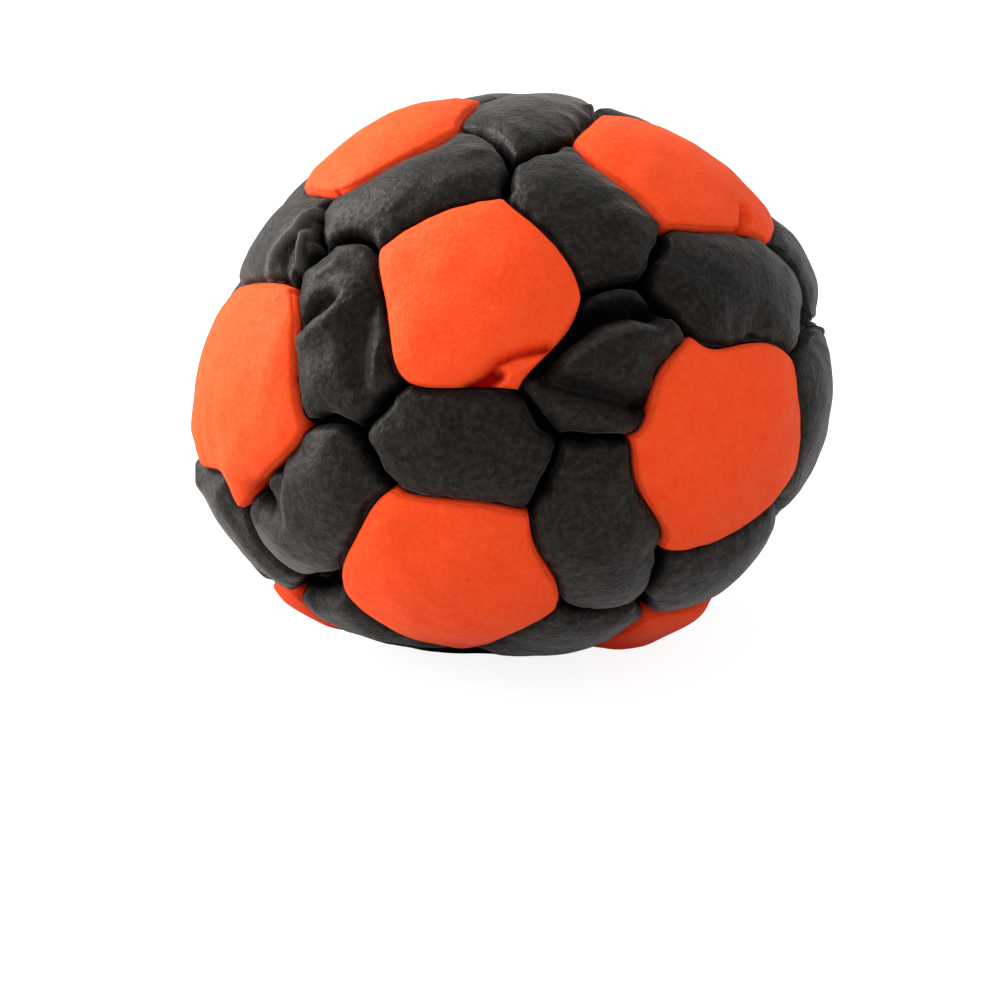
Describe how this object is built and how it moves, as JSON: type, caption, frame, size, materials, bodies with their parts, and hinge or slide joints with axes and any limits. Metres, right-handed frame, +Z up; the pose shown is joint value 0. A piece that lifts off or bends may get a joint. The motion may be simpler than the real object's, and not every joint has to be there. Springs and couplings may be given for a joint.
{
  "type": "footbag",
  "caption": "Soft round footbag at rest, sewn from orange pentagon and charcoal hexagon suede panels and filled with sand.",
  "frame": {"origin": "on the ground, under the middle of the bag as it rests", "axes": "+X to the right of the pictured front, +Y away from it, +Z up"},
  "size_m": [0.0602, 0.0583, 0.0521],
  "materials": {
    "orange_suede": "short nap, matte",
    "charcoal_suede": "short nap, matte",
    "thread": "satin",
    "sand": "matte"
  },
  "bodies": {
    "root": {"closing_thread": "thread", "hexagon_back_left_back_low": "charcoal_suede", "hexagon_back_right_back_low": "charcoal_suede", "hexagon_back_right_back_top": "charcoal_suede", "hexagon_back_top_back_left": "charcoal_suede", "hexagon_back_top_back_low": "charcoal_suede", "hexagon_front_high_left": "charcoal_suede", "hexagon_front_high_right": "charcoal_suede", "hexagon_front_left": "charcoal_suede", "hexagon_front_low_front": "charcoal_suede", "hexagon_front_right": "charcoal_suede", "hexagon_high_left_back_left": "charcoal_suede", "hexagon_high_left_back_top": "charcoal_suede", "hexagon_high_right_back_right": "charcoal_suede", "hexagon_high_right_back_top": "charcoal_suede", "hexagon_high_right_high_left": "charcoal_suede", "hexagon_left_back_left": "charcoal_suede", "hexagon_left_high_left": "charcoal_suede", "hexagon_left_low_front": "charcoal_suede", "hexagon_left_low_left": "charcoal_suede", "hexagon_low_front_low_left": "charcoal_suede", "hexagon_low_front_low_right": "charcoal_suede", "hexagon_low_front_right": "charcoal_suede", "hexagon_low_left_back_left": "charcoal_suede", "hexagon_low_left_back_low": "charcoal_suede", "hexagon_low_left_low_right": "charcoal_suede", "hexagon_low_right_back_low": "charcoal_suede", "hexagon_low_right_back_right": "charcoal_suede", "hexagon_right_back_right": "charcoal_suede", "hexagon_right_high_right": "charcoal_suede", "hexagon_right_low_right": "charcoal_suede", "pentagon_back_left": "orange_suede", "pentagon_back_low": "orange_suede", "pentagon_back_right": "orange_suede", "pentagon_back_top": "orange_suede", "pentagon_front": "orange_suede", "pentagon_high_left": "orange_suede", "pentagon_high_right": "orange_suede", "pentagon_left": "orange_suede", "pentagon_low_front": "orange_suede", "pentagon_low_left": "orange_suede", "pentagon_low_right": "orange_suede", "pentagon_right": "orange_suede", "sand_filling": "sand", "seam_thread": "thread"}
  },
  "joints": []
}
